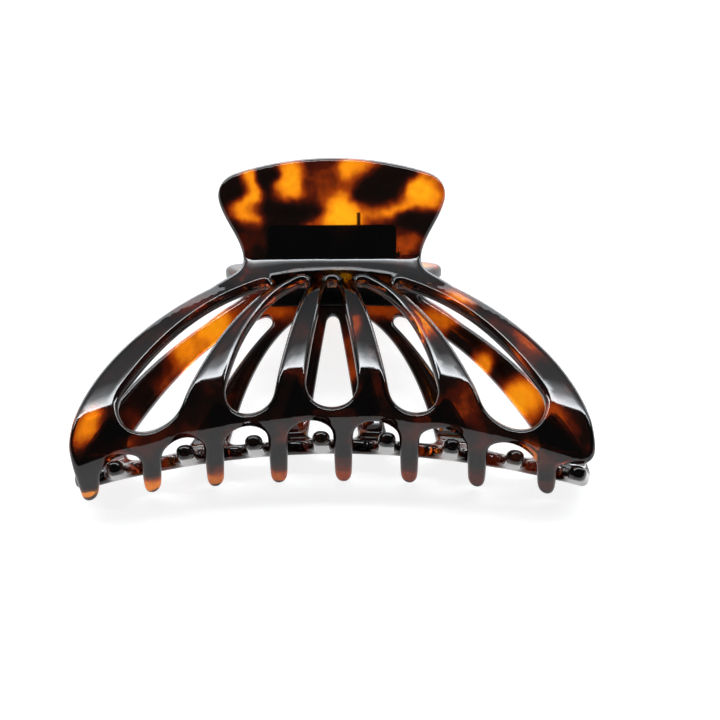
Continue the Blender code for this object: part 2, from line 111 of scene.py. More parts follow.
HANDLE_TOP = -21.5
HANDLE_TOP_RADIUS = 64.0
HANDLE_CORNER_RADIUS = 4.6
HANDLE_HALF_WIDTH = 22.9
HANDLE_CORNER_END = 12.0  # degrees to which the handle's corner turns
NECK_HALF_WIDTH = 17.9
NECK_TOP = -0.6           # lower end of the handle's side
SHOULDER = (19.5, 2.35)   # where the neck meets the fan's side
FAN_HALF_WIDTH = 50.4
FAN_SIDE_END = 34.5       # where the fan's side meets the blank corner
CORNER_LOW = (46.4, 39.4)
NOTCH_TOP = 39.1
NOTCH_DEPTH = 3.4
TOOTH_COUNT = 8
TOOTH_MIDDLE = 4
TOOTH_MIDDLE_PLACE = 2.1
TOOTH_STEP = 12.75
TOOTH_STEP_GROWTH = 0.125
TOOTH_ROOT_HALF = 1.95
TOOTH_TIP_HALF = 1.65
TOOTH_TIP = 54.2
TOOTH_TIP_RISE = 8.0
# Each slot: start, bend and end of its centre line, first and last radius, and early growth.
SLOTS = (
    ((0.0, 7.0), (0.0, 20.0), (0.0, 31.9), 1.3, 5.0, 0.30),
    ((6.0, 7.0), (12.3, 14.5), (15.7, 32.3), 1.3, 4.8, 0.95),
    ((13.6, 6.7), (25.5, 13.5), (34.5, 29.9), 1.3, 6.5, 0.35),
)

# ---- mesh fineness ---------------------------------------------------------------------------
OUTLINE_STEP = 0.55
OUTLINE_EASING = 4        # rounds of smoothing on the outer outline
SLOT_EASING = 2
FILL_STEP = 1.0
ROUND_STEPS = 5
PLATE_OUTLINE_STEP = 0.4
PLATE_ROUND_STEPS = 3
SHARP_ANGLE = 38.0
NORMAL_STEP = 0.01        # over which the bent sheet's normal is measured
MERGE_DISTANCE = 1e-6
EAR_FOOT_POINTS = 25
COIL_TURN_STEPS = 40
LEG_POINTS = 10

# ---- camera, from the clip's pin: millimetres and degrees ---------------------------------------
CAMERA_ELEVATION = 47.75
CAMERA_ROLL = 0.37
CAMERA_DISTANCE = 448.0
CAMERA_LENS = 112.0
CAMERA_SENSOR = 36.0
AIM_ALONG = 20.6          # how far towards the teeth the view is centred
AIM_RIGHT = 5.5
AIM_DOWN = 3.5


def bezier(points, count):
    """Points on a Bezier curve of any degree, without the last one."""
    degree = len(points) - 1
    path = []
    for i in range(count):
        t = i / count
        weights = [math.comb(degree, k) * t ** k * (1 - t) ** (degree - k) for k in range(degree + 1)]
        path.append(tuple(sum(w * p[axis] for w, p in zip(weights, points)) for axis in range(2)))
    return path


def arc(centre, radius_u, radius_w, start, end, count):
    """Points on an elliptical arc between two angles in degrees, without the last one."""
    path = []
    for i in range(count):
        angle = math.radians(start + (end - start) * i / count)
        path.append((centre[0] + radius_u * math.cos(angle), centre[1] + radius_w * math.sin(angle)))
    return path


def evenly(path, step):
    """A closed path walked at an even step."""
    points = np.array(path + path[:1])
    lengths = np.linalg.norm(np.diff(points, axis=0), axis=1)
    along = np.concatenate(([0.0], np.cumsum(lengths)))
    count = max(8, int(round(along[-1] / step)))
    places = np.arange(count) * along[-1] / count
    return np.stack([np.interp(places, along, points[:, axis]) for axis in range(2)], axis=1)


def eased(loop, rounds):
    """The loop with its small kinks where curves meet smoothed out."""
    for _ in range(rounds):
        loop = (np.roll(loop, 1, axis=0) + 2 * loop + np.roll(loop, -1, axis=0)) / 4
    return loop


def slot_outline(start, bend, end, first_radius, last_radius, growth, side):
    """The outline swept by a growing circle along a curved centre line."""
    line = np.array(bezier((start, bend, end), 80) + [end])
    share = np.linspace(0.0, 1.0, len(line))
    radius = first_radius + (last_radius - first_radius) * share * (1 + growth * (1 - share))
    tangent = np.gradient(line, axis=0)
    tangent /= np.linalg.norm(tangent, axis=1)[:, None]
    normal = np.stack([-tangent[:, 1], tangent[:, 0]], axis=1)
    left = line + normal * radius[:, None]
    right = line - normal * radius[:, None]
    first_turn = math.degrees(math.atan2(*normal[0][::-1]))
    last_turn = math.degrees(math.atan2(*-normal[-1][::-1]))
    top = arc(line[0], first_radius, first_radius, first_turn, first_turn + 180.0, 24)
    bottom = arc(line[-1], last_radius, last_radius, last_turn, last_turn + 180.0, 60)
    path = top + [tuple(p) for p in right[1:]] + bottom + [tuple(p) for p in left[:0:-1]]
    return [(side * u, w) for u, w in path]


def tooth_place(index):
    steps = index - TOOTH_MIDDLE
    return TOOTH_MIDDLE_PLACE + TOOTH_STEP * steps + TOOTH_STEP_GROWTH * steps ** 2


def tooth_tip(place):
    return TOOTH_TIP - TOOTH_TIP_RISE * (place / FAN_HALF_WIDTH) ** 2


def handle_side():
    """Right side of the blank from the middle of the handle's top edge to the fan's side."""
    corner_u = HANDLE_HALF_WIDTH - HANDLE_CORNER_RADIUS
    top_centre_w = HANDLE_TOP + HANDLE_TOP_RADIUS
    inner = HANDLE_TOP_RADIUS - HANDLE_CORNER_RADIUS
    turn = math.degrees(math.asin(corner_u / inner))
    corner_w = top_centre_w - inner * math.cos(math.radians(turn))
    path = arc((0.0, top_centre_w), HANDLE_TOP_RADIUS, HANDLE_TOP_RADIUS, -90.0, -90.0 + turn, 40)
    corner_radii = (HANDLE_CORNER_RADIUS, HANDLE_CORNER_RADIUS)
    path += arc((corner_u, corner_w), *corner_radii, -90.0 + turn, HANDLE_CORNER_END, 30)
    corner_end = math.radians(HANDLE_CORNER_END)
    side_start = (
        corner_u + HANDLE_CORNER_RADIUS * math.cos(corner_end),
        corner_w + HANDLE_CORNER_RADIUS * math.sin(corner_end),
    )
    neck = (NECK_HALF_WIDTH, NECK_TOP)
    fan_end = (FAN_HALF_WIDTH, FAN_SIDE_END)
    path += bezier((side_start, (21.6, -8.4), (NECK_HALF_WIDTH, -5.0), neck), 30)
    path += bezier((neck, (NECK_HALF_WIDTH, 1.2), (18.5, 1.9), SHOULDER), 16)
    path += bezier((SHOULDER, (38.0, 10.5), (FAN_HALF_WIDTH - 0.7, 22.0), fan_end), 90)
    return path


def lower_edge():
    """Lower edge from right to left: the rounded blank corner, then teeth and notches."""
    tooth_side = tooth_place(TOOTH_COUNT - 1) + TOOTH_ROOT_HALF
    root = NOTCH_TOP + NOTCH_DEPTH
    fan_end = (FAN_HALF_WIDTH, FAN_SIDE_END)
    path = bezier((fan_end, (FAN_HALF_WIDTH + 0.2, 37.4), (48.8, 38.9), CORNER_LOW), 24)
    path += bezier((CORNER_LOW, (44.6, 39.8), (tooth_side, 40.4), (tooth_side, 42.6)), 16)
    for index in reversed(range(TOOTH_COUNT)):
        place = tooth_place(index)
        tip = tooth_tip(place) - TOOTH_TIP_HALF
        path += arc((place, tip), TOOTH_TIP_HALF, TOOTH_TIP_HALF, 0.0, 180.0, 24)
        path.append((place - TOOTH_TIP_HALF, tip))
        if index == 0:
            break
        middle = (place + tooth_place(index - 1)) / 2
        reach = (place - tooth_place(index - 1)) / 2 - TOOTH_ROOT_HALF
        path += arc((middle, root), reach, -NOTCH_DEPTH, 0.0, 180.0, 40)
        path.append((middle - reach, root))
    return path


def blank_outlines():
    """The blank's outer outline, then its five slots, as even paths in the flat sheet."""
    right = handle_side()
    left = [(-u, w) for u, w in right[1:]]
    outlines = [eased(evenly(right + lower_edge() + left[::-1], OUTLINE_STEP), OUTLINE_EASING)]
    for start, bend, end, first, last, growth in SLOTS:
        sides = (1,) if start[0] == 0.0 else (1, -1)
        for side in sides:
            path = slot_outline(start, bend, end, first, last, growth, side)
            outlines.append(eased(evenly(path, OUTLINE_STEP), SLOT_EASING))
    return outlines


# ---- the bent sheet, in arrays: all points at once ------------------------------------------------
def bends():
    """Runs of the sheet up and down from the fold's lower end: direction, lengths, end leans."""
    fold_length = FOLD_RADIUS * math.radians(HANDLE_LEAN)
    curl_length = CURL_RADIUS * math.radians(BOW_LEAN + CURL_END)
    handle = ((fold_length, -HANDLE_LEAN), (BLANK_REACH, -HANDLE_LEAN))
    fan = (
        (SWEEP_LENGTH, SWEEP_LEAN),
        (BOW_LENGTH, BOW_LEAN),
        (curl_length, -CURL_END),
        (BLANK_REACH, -CURL_END),
    )
    return (-1, handle), (1, fan)


def bend_profile(w):
    """Height, and distance from the middle plane, at lengths below the fold's lower end."""
    height = np.full(w.shape, -PIN_TO_FOLD)
    distance = np.full(w.shape, NECK_OFFSET)
    for direction, runs in bends():
        rest = np.maximum(direction * w, 0.0)
        lean = 0.0
        for length, end_lean in runs:
            run = np.minimum(rest, length)
            half_turn = math.radians(end_lean - lean) / 2 * run / length
            chord = direction * run * np.sinc(half_turn / math.pi)
            height -= chord * np.cos(math.radians(lean) + half_turn)
            distance += chord * np.sin(math.radians(lean) + half_turn)
            rest = rest - run
            lean = end_lean
    return height, distance


def sheet_points(flat):
    """Points of the bent sheet's middle surface, in millimetres."""
    u, w = flat[:, 0], flat[:, 1]
    height, distance = bend_profile(w)
    share = np.clip(w / ARCH_BLEND, 0.0, 1.0)
    share = share * share * (3 - 2 * share)
    arch = share * u * u
    return np.stack([u, ARCH_INSET * arch - distance, height - ARCH_DROP * arch], axis=1)


def bent(flat, outward):
    """Points of the bent sheet at a distance outward from its middle surface."""
    across = sheet_points(flat + (NORMAL_STEP, 0.0)) - sheet_points(flat - (NORMAL_STEP, 0.0))
    along = sheet_points(flat + (0.0, NORMAL_STEP)) - sheet_points(flat - (0.0, NORMAL_STEP))
    normal = np.cross(along, across)
    normal /= np.linalg.norm(normal, axis=1)[:, None]
    return sheet_points(flat) + normal * outward


def inset(loop, distance):
    """A closed loop moved into the sheet; loops run with the sheet on their left."""
    tangent = np.roll(loop, -1, axis=0) - np.roll(loop, 1, axis=0)
    tangent /= np.linalg.norm(tangent, axis=1)[:, None]
    return loop + np.stack([-tangent[:, 1], tangent[:, 0]], axis=1) * distance


def signed_area(loop):
    after = np.roll(loop, -1, axis=0)
    return 0.5 * float(np.sum(loop[:, 0] * after[:, 1] - after[:, 0] * loop[:, 1]))


def inside(points, loops):
    """Which points lie in the sheet, by counting the outline edges to their right."""
    crossings = np.zeros(len(points), dtype=int)
    for loop in loops:
        after = np.roll(loop, -1, axis=0)
        for (u0, w0), (u1, w1) in zip(loop, after):
            if w0 == w1:
                continue
            spans = (points[:, 1] >= min(w0, w1)) & (points[:, 1] < max(w0, w1))
            at = u0 + (points[:, 1] - w0) * (u1 - u0) / (w1 - w0)
            crossings += spans & (at > points[:, 0])
    return crossings % 2 == 1


def fill_points(loops, step, margin):
    """A staggered grid of points in the sheet, clear of its outlines."""
    low = loops[0].min(axis=0)
    high = loops[0].max(axis=0)
    grid = []
    for row, w in enumerate(np.arange(low[1], high[1], step * math.sqrt(3) / 2)):
        shift = (row % 2) * step / 2
        grid += [(u, w) for u in np.arange(low[0] + shift, high[0], step)]
    grid = np.array(grid)
    grid = grid[inside(grid, loops)]
    edge = np.concatenate(loops)
    distance = np.linalg.norm(grid[:, None, :] - edge[None, :, :], axis=2).min(axis=1)
    return grid[distance > margin]


def triangulated(loops, fill_step):
    """Places and triangles of the flat sheet that the loops bound."""
    fill = fill_points(loops, fill_step, 0.6 * fill_step)
    flat = [Vector(p) for p in np.concatenate(loops + [fill])]
    edges = []
    start = 0
    for loop in loops:
        count = len(loop)
        edges += [(start + i, start + (i + 1) % count) for i in range(count)]
        start += count
    only_inside = 1
    places, _, triangles, _, _, _ = delaunay_2d_cdt(flat, edges, [], only_inside, MERGE_DISTANCE)
    places = np.array([tuple(p) for p in places])
    triangles = np.array(triangles)
    return places, triangles[inside(places[triangles].mean(axis=1), loops)]


def face_outward(mesh):
    bm = bmesh.new()
    bm.from_mesh(mesh)
    bmesh.ops.recalc_face_normals(bm, faces=bm.faces)
    bm.to_mesh(mesh)
    bm.free()


def keep_places(mesh, flat_places):
    """Stores each point's place in the flat sheet, which the acetate's pattern follows."""
    kept = mesh.attributes.new("sheet_place", "FLOAT_VECTOR", "POINT")
    vectors = np.column_stack([flat_places, np.zeros(len(flat_places))])
    kept.data.foreach_set("vector", vectors.astype(np.float32).ravel())


def sheet_mesh(name, loops, thickness, offset, edge_round, round_steps, fill_step):
    """A closed bent sheet with rounded edges. It keeps each point's place in the flat sheet."""
    loops = [loop if (signed_area(loop) > 0) == (i == 0) else loop[::-1] for i, loop in enumerate(loops)]
    places, triangles = triangulated([inset(loop, edge_round) for loop in loops], fill_step)
    half = thickness / 2

    # Rings round each edge, from the outer face to the inner face.
    turns = [math.pi / 2 * i / round_steps for i in range(1, round_steps + 1)]
    outer_rings = [
        (edge_round * (1 - math.sin(turn)), half - edge_round * (1 - math.cos(turn)))
        for turn in turns
    ]
    rings = outer_rings + [(shift, -height) for shift, height in reversed(outer_rings)]
    points = [bent(places, offset + half), bent(places, offset - half)]
    flats = [places, places]
    size = len(places)
    faces = [tuple(t) for t in triangles]
    faces += [tuple(t[::-1] + size) for t in triangles]
    base = 2 * size
    start = 0
    for loop in loops:
        count = len(loop)
        rows = [np.arange(start, start + count)]
        for shift, height in rings:
            moved = inset(loop, shift)
            points.append(bent(moved, offset + height))
            flats.append(moved)
            rows.append(np.arange(base, base + count))
            base += count
        rows.append(np.arange(start, start + count) + size)
        for upper, lower in zip(rows, rows[1:]):
            quads = np.stack([np.roll(upper, -1), upper, lower, np.roll(lower, -1)], axis=1)
            faces += [tuple(q) for q in quads]
        start += count
    mesh = bpy.data.meshes.new(name)
    faces = [tuple(int(i) for i in face) for face in faces]
    mesh.from_pydata((np.concatenate(points) * MM).tolist(), [], faces)
    face_outward(mesh)
    keep_places(mesh, np.concatenate(flats))
    mesh.shade_smooth()
    return mesh


# ---- solids ------------------------------------------------------------------------------------
def evaluated_mesh(obj, name):
    """The object's mesh with its modifiers applied, and the object removed."""
    bpy.context.view_layer.update()
    graph = bpy.context.evaluated_depsgraph_get()
    mesh = bpy.data.meshes.new_from_object(obj.evaluated_get(graph), depsgraph=graph)
    mesh.name = name
    bpy.data.objects.remove(obj)
    return mesh


def combine(mesh, tool_mesh, operation):
    """The exact Boolean of two meshes that share one frame."""
    body = bpy.data.objects.new("body", mesh)
    tool = bpy.data.objects.new("tool", tool_mesh)
    for obj in (body, tool):
        bpy.context.scene.collection.objects.link(obj)
    boolean = body.modifiers.new("combine", "BOOLEAN")
    boolean.operation = operation
    boolean.solver = "EXACT"
    boolean.object = tool
    result = evaluated_mesh(body, mesh.name)
    bpy.data.objects.remove(tool)
    return result


def smooth(mesh):
    mesh.shade_smooth()
    mesh.set_sharp_from_angle(angle=math.radians(SHARP_ANGLE))
    return mesh


def turned(name, profile, sides):
    """A solid of revolution about X from (x, radius) points that start and end on the axis."""
    bm = bmesh.new()
    previous = bm.verts.new((profile[0][0] * MM, 0.0, 0.0))
    edges = []
    for x, radius in profile[1:]:
        current = bm.verts.new((x * MM, 0.0, radius * MM))
        edges.append(bm.edges.new((previous, current)))
        previous = current
    bmesh.ops.spin(
        bm,
        geom=bm.verts[:] + edges,
        cent=(0.0, 0.0, 0.0),
        axis=(1.0, 0.0, 0.0),
        angle=math.tau,
        steps=sides,
        use_merge=True,
    )
    bmesh.ops.remove_doubles(bm, verts=bm.verts, dist=1e-7)
    bmesh.ops.recalc_face_normals(bm, faces=bm.faces)
    mesh = bpy.data.meshes.new(name)
    bm.to_mesh(mesh)
    bm.free()
    return smooth(mesh)


def sheet_frame(u, w):
    """The frame of a piece set square on the bent sheet: X points outward through it."""
    middle = Vector(bent(np.array([[u, w]]), 0.0)[0])
    outward = (Vector(bent(np.array([[u, w]]), 1.0)[0]) - middle).normalized()
    along = outward.cross(Vector((1.0, 0.0, 0.0))).normalized()
    side = along.cross(outward)
    turn = Matrix((outward, side, along)).transposed().to_4x4()
    return Matrix.Translation(middle * MM) @ turn


def jaw_mesh():
    return sheet_mesh("jaw", blank_outlines(), SHEET, 0.0, EDGE_ROUND, ROUND_STEPS, FILL_STEP)


def plate_offset():
    return -(SHEET / 2 + GAP + PLATE_THICK / 2)


def plate_outlines():
    """The hinge plate's rounded rectangle and its two screw holes."""
    corner = PLATE_CORNER
    half = PLATE_WIDTH / 2 - corner
    path = arc((half, PLATE_BOTTOM - corner), corner, corner, 0.0, 90.0, 10)
    path += arc((-half, PLATE_BOTTOM - corner), corner, corner, 90.0, 180.0, 10)
    path += arc((-half, PLATE_TOP + corner), corner, corner, 180.0, 270.0, 10)
    path += arc((half, PLATE_TOP + corner), corner, corner, 270.0, 360.0, 10)
    outlines = [evenly(path, PLATE_OUTLINE_STEP)]
    radius = SCREW_SHANK_RADIUS + GAP
    for side in (-1, 1):
        outlines.append(np.array(arc((side * SCREW_PLACE, SCREW_LINE), radius, radius, 0.0, 360.0, 32)))
    return outlines


def ear_mesh(left, right):
    """One ear of the hinge plate, from the plate to around the pin, with the pin's hole."""
    feet = np.linspace(EAR_TOP, EAR_BOTTOM, EAR_FOOT_POINTS)
    path = bent(np.column_stack([np.zeros(len(feet)), feet]), plate_offset())[:, 1:]
    first = math.degrees(math.atan2(path[0][1], path[0][0]))
    last = math.degrees(math.atan2(path[-1][1], path[-1][0])) % 360.0
    open_side = arc((0.0, 0.0), EAR_RADIUS, EAR_RADIUS, first - EAR_ROUND, last - 360.0 + EAR_ROUND, 48)
    outline = [tuple(p) for p in path[::-1]] + open_side
    hole = arc((0.0, 0.0), PIN_RADIUS + GAP, PIN_RADIUS + GAP, 360.0, 0.0, 48)
    bm = bmesh.new()
    edges = []
    for points in (outline, hole):
        loop = [bm.verts.new((left * MM, y * MM, z * MM)) for y, z in points]
        edges += [bm.edges.new(pair) for pair in zip(loop, loop[1:] + loop[:1])]
    faces = bmesh.ops.triangle_fill(bm, use_beauty=True, edges=edges)["geom"]
    faces = [face for face in faces if isinstance(face, bmesh.types.BMFace)]
    grown = bmesh.ops.extrude_face_region(bm, geom=faces)["geom"]
    moved = [vert for vert in grown if isinstance(vert, bmesh.types.BMVert)]
    bmesh.ops.translate(bm, verts=moved, vec=((right - left) * MM, 0.0, 0.0))
    bmesh.ops.recalc_face_normals(bm, faces=bm.faces)
    mesh = bpy.data.meshes.new("ear")
    bm.to_mesh(mesh)
    bm.free()
    return mesh


def plate_mesh():
    """The hinge plate with its two ears."""
    mesh = sheet_mesh(
        "hinge_plate",
        plate_outlines(),
        PLATE_THICK,
        plate_offset(),
        PLATE_EDGE_ROUND,
        PLATE_ROUND_STEPS,
        FILL_STEP,
    )
    outer_edge = PLATE_WIDTH / 2 - EAR_SETBACK
    inner_edge = outer_edge - PLATE_THICK - GAP
    mesh = combine(mesh, ear_mesh(-outer_edge, -outer_edge + PLATE_THICK), "UNION")
    mesh = combine(mesh, ear_mesh(inner_edge - PLATE_THICK, inner_edge), "UNION")
    return smooth(mesh)


def pin_mesh():
    """The hinge pin with a domed head riveted on each end."""
    reach = PLATE_WIDTH / 2 + GAP
    half = [
        (reach, PIN_RADIUS),
        (reach, PIN_HEAD_RADIUS - PIN_HEAD_CHAMFER),
        (reach + PIN_HEAD_CHAMFER, PIN_HEAD_RADIUS),
    ]
    for angle in range(0, 90, 9):
        x = reach + PIN_HEAD_RIM + (PIN_HEAD_LENGTH - PIN_HEAD_RIM) * math.sin(math.radians(angle))
        half.append((x, PIN_HEAD_RADIUS * math.cos(math.radians(angle * 0.95))))
    half.append((reach + PIN_HEAD_LENGTH, 0.0))
    mirrored = [(-x, radius) for x, radius in half[::-1]]
    return turned("hinge_pin", mirrored + half, 56)


def screw_mesh():
    """A plate screw along X: a low domed head with a driver slot, and a shank."""
    under_head = -(SHEET / 2 + GAP + PLATE_THICK + GAP)
    top = under_head - SCREW_HEAD_HEIGHT
    tip = -(SHEET / 2 + GAP + PLATE_THICK) + SCREW_DEPTH
    profile = [(top, 0.0)]
    for angle in range(15, 91, 15):
        radius = SCREW_HEAD_RADIUS * math.sin(math.radians(angle))
        profile.append((top + SCREW_HEAD_DOME * (1 - math.cos(math.radians(angle))), radius))
    profile += [
        (under_head - SCREW_HEAD_CHAMFER, SCREW_HEAD_RADIUS),
        (under_head, SCREW_HEAD_RADIUS - SCREW_HEAD_CHAMFER),
        (under_head, SCREW_SHANK_RADIUS),
        (tip - SCREW_POINT, SCREW_SHANK_RADIUS),
        (tip, 0.0),
    ]
    screw = turned("plate_screw", profile, 48)
    bm = bmesh.new()
    size = Vector((2 * SCREW_SLOT_REACH, SCREW_SLOT_WIDTH, 4.0)) * MM
    bmesh.ops.create_cube(bm, size=1.0)
    bmesh.ops.scale(bm, vec=size, verts=bm.verts)
    slot_middle = top + SCREW_SLOT_FLOOR - SCREW_SLOT_REACH
    bmesh.ops.translate(bm, vec=(slot_middle * MM, 0.0, 0.0), verts=bm.verts)
    slot = bpy.data.meshes.new("driver_slot")
    bm.to_mesh(slot)
    bm.free()
    return smooth(combine(screw, slot, "DIFFERENCE"))


def spring_path():
    """The spring's wire: a leg up one plate, the coil along the pin, a leg up the other."""
    lean = math.radians(HANDLE_LEAN)
    turns = round(2 * COIL_HALF_LENGTH / COIL_PITCH)
    toward_front = math.radians(180.0) + lean
    sweep = math.tau * turns + math.pi - 2 * lean
    steps = turns * COIL_TURN_STEPS
    path = []
    for along in np.linspace(-LEG_TOP, LEG_FOOT, LEG_POINTS):
        y = COIL_RADIUS * math.cos(toward_front) - along * math.sin(lean)
        z = COIL_RADIUS * math.sin(toward_front) + along * math.cos(lean)
        path.append((COIL_HALF_LENGTH, y, z))
    first_leg = list(path)
    for i in range(steps + 1):
        angle = toward_front + sweep * i / steps
        x = COIL_HALF_LENGTH * (1 - 2 * i / steps)
        path.append((x, COIL_RADIUS * math.cos(angle), COIL_RADIUS * math.sin(angle)))
    path += [(-x, -y, z) for x, y, z in reversed(first_leg)]
    return path


def spring_mesh():
    """The torsion spring: round wire swept along its path."""
    curve = bpy.data.curves.new("torsion_spring", "CURVE")
    curve.dimensions = "3D"
    curve.bevel_depth = WIRE / 2 * MM
    curve.bevel_resolution = 4
    curve.use_fill_caps = True
    path = spring_path()
    spline = curve.splines.new("POLY")
    spline.points.add(len(path) - 1)
    for point, place in zip(spline.points, path):
        point.co = (place[0] * MM, place[1] * MM, place[2] * MM, 1.0)
    wire = bpy.data.objects.new("wire", curve)
    bpy.context.scene.collection.objects.link(wire)
    return smooth(evaluated_mesh(wire, "torsion_spring"))


# ---- materials -----------------------------------------------------------------------------------
NOISE_LOW = 0.3           # the range that a noise texture mostly stays in
NOISE_HIGH = 0.7


def node(tree, kind, inputs=None, **settings):
    """A new shader node with its settings, and its inputs as values or links."""
    made = tree.nodes.new(kind)
    for key, value in settings.items():
        setattr(made, key, value)
    for key, value in (inputs or {}).items():
        if isinstance(value, bpy.types.NodeSocket):
            tree.links.new(value, made.inputs[key])
        else:
            made.inputs[key].default_value = value
    return made


def noise(tree, place, scale, detail=2.0, roughness=0.5):
    inputs = {"Vector": place, "Scale": scale, "Detail": detail, "Roughness": roughness}
    return node(tree, "ShaderNodeTexNoise", inputs)


def mapped(tree, value, low, high, to_low, to_high, kind="LINEAR"):
    inputs = {"Value": value, "From Min": low, "From Max": high, "To Min": to_low, "To Max": to_high}
    return node(tree, "ShaderNodeMapRange", inputs, interpolation_type=kind).outputs[0]


def spread(tree, value, low, high):
    """A noise value stretched so that its usual range fills a wanted one."""
    return mapped(tree, value, NOISE_LOW, NOISE_HIGH, low, high)


def ramp(tree, value, stops):
    made = node(tree, "ShaderNodeValToRGB", {"Fac": value})
    elements = made.color_ramp.elements
    while len(elements) < len(stops):
        elements.new(1.0)
    for element, (position, colour) in zip(elements, stops):
        element.position = position
        element.color = (*colour, 1.0)
    return made.outputs["Color"]


def math_node(tree, operation, *values, clamp=False):
    inputs = dict(enumerate(values))
    return node(tree, "ShaderNodeMath", inputs, operation=operation, use_clamp=clamp).outputs[0]


def vector_math(tree, operation, first, second):
    return node(tree, "ShaderNodeVectorMath", {0: first, 1: second}, operation=operation).outputs[0]


def mixed(tree, share, first, second):
    """A number between two others."""
    return node(tree, "ShaderNodeMix", {0: share, 2: first, 3: second}, data_type="FLOAT").outputs[0]


def blotch(tree, tone, place, centre, radii, target):
    """The tone moved to a target in a soft-edged ellipse."""
    away = vector_math(tree, "SUBTRACT", place, (*centre, 0.0))
    scaled = vector_math(tree, "DIVIDE", away, (*radii, 1.0))
    length = node(tree, "ShaderNodeVectorMath", {0: scaled}, operation="LENGTH").outputs["Value"]
    mask = mapped(tree, length, BLOTCH_OUTSIDE, BLOTCH_CORE, 0.0, 1.0, "SMOOTHSTEP")
    return mixed(tree, mask, tone, target)


# Noise scales are per millimetre of the flat sheet.
WANDER_SCALE = 0.2
WANDER_REACH = 3.5        # how far the blotches' edges stray, in millimetres
CLOUD_SCALE = 0.13
CLOUD_TONE = 0.42         # lightest tone of the ground between the blotches
GRAIN_SCALE = 0.7
GRAIN_TONE = 0.04
WEAR_SCALE = 0.35
WAVE_SCALE = 0.22
BLOTCH_OUTSIDE = 1.65     # in radii: where a blotch starts to show, and where it is full
BLOTCH_CORE = 0.3
ACETATE_ROUGHNESS = (0.035, 0.075)
ACETATE_IOR = 1.49
TORTOISESHELL = (
    (0.00, (0.0020, 0.0008, 0.0006)),
    (0.18, (0.0060, 0.0014, 0.0007)),
    (0.36, (0.0550, 0.0050, 0.0010)),
    (0.54, (0.3000, 0.0380, 0.0018)),
    (0.74, (0.7600, 0.2000, 0.0035)),
    (1.00, (0.9200, 0.4000, 0.0070)),
)


def tooth_tips(tree, tone, place, tip_tones):
    """The tone near the teeth's ends replaced by one that runs from the left tip's to the right's."""
    parts = node(tree, "ShaderNodeSeparateXYZ", {0: place}).outputs
    across = math_node(tree, "MULTIPLY", parts["X"], parts["X"])
    along = math_node(tree, "MULTIPLY_ADD", across, TOOTH_TIP_RISE / FAN_HALF_WIDTH ** 2, parts["Y"])
    tip_start = TOOTH_TIP - TIP_LENGTH
    near_tip = mapped(tree, along, tip_start, tip_start + TIP_BLEND, 0.0, 1.0, "SMOOTHSTEP")
    tip_tone = mapped(tree, parts["X"], -FAN_HALF_WIDTH, FAN_HALF_WIDTH, *tip_tones)
    return mixed(tree, near_tip, tone, tip_tone)


def acetate(name, seed, blotches, tip_tones):
    """Polished tortoiseshell acetate: soft amber and dark blotches through a clear sheet."""
    material = bpy.data.materials.new(name)
    material.use_nodes = True
    tree = material.node_tree
    shader = tree.nodes["Principled BSDF"]
    flat = node(tree, "ShaderNodeAttribute", attribute_name="sheet_place").outputs["Vector"]
    moved = vector_math(tree, "ADD", flat, (0.0, 0.0, seed))

    wander = noise(tree, moved, WANDER_SCALE, 2.0).outputs["Color"]
    centred = vector_math(tree, "SUBTRACT", wander, (0.5, 0.5, 0.5))
    swing = vector_math(tree, "MULTIPLY", centred, (WANDER_REACH, WANDER_REACH, 0.0))
    place = vector_math(tree, "ADD", flat, swing)

    clouds = noise(tree, moved, CLOUD_SCALE, 2.5, 0.45).outputs["Fac"]
    tone = mapped(tree, clouds, 0.35, 0.68, 0.0, CLOUD_TONE)
    for centre, radii, target in blotches:
        tone = blotch(tree, tone, place, centre, radii, target)
    tone = tooth_tips(tree, tone, flat, tip_tones)
    specks = noise(tree, moved, GRAIN_SCALE, 3.0).outputs["Fac"]
    grain = spread(tree, specks, -GRAIN_TONE, GRAIN_TONE)
    tone = math_node(tree, "ADD", tone, grain, clamp=True)
    tree.links.new(ramp(tree, tone, TORTOISESHELL), shader.inputs["Base Color"])

    wear = noise(tree, moved, WEAR_SCALE, 4.0).outputs["Fac"]
    tree.links.new(spread(tree, wear, *ACETATE_ROUGHNESS), shader.inputs["Roughness"])
    waves = noise(tree, moved, WAVE_SCALE, 1.0).outputs["Fac"]
    polish = node(tree, "ShaderNodeBump", {"Height": waves, "Strength": 0.12, "Distance": 0.25 * MM})
    tree.links.new(polish.outputs["Normal"], shader.inputs["Normal"])
    shader.inputs["Transmission Weight"].default_value = 1.0
    shader.inputs["IOR"].default_value = ACETATE_IOR
    return material


# Steel noise scales are per metre. Each finish: dark, light, roughness, metallic, stretch along X.
STEEL_PATCH_SCALE = 900.0
STEEL_BUMP_SCALE = 5200.0
BLACK_STEEL = ((0.004, 0.004, 0.004), (0.012, 0.011, 0.011), 0.35, 0.3, 1.0)
BRIGHT_STEEL = ((0.50, 0.50, 0.51), (0.66, 0.66, 0.67), 0.18, 1.0, 0.1)


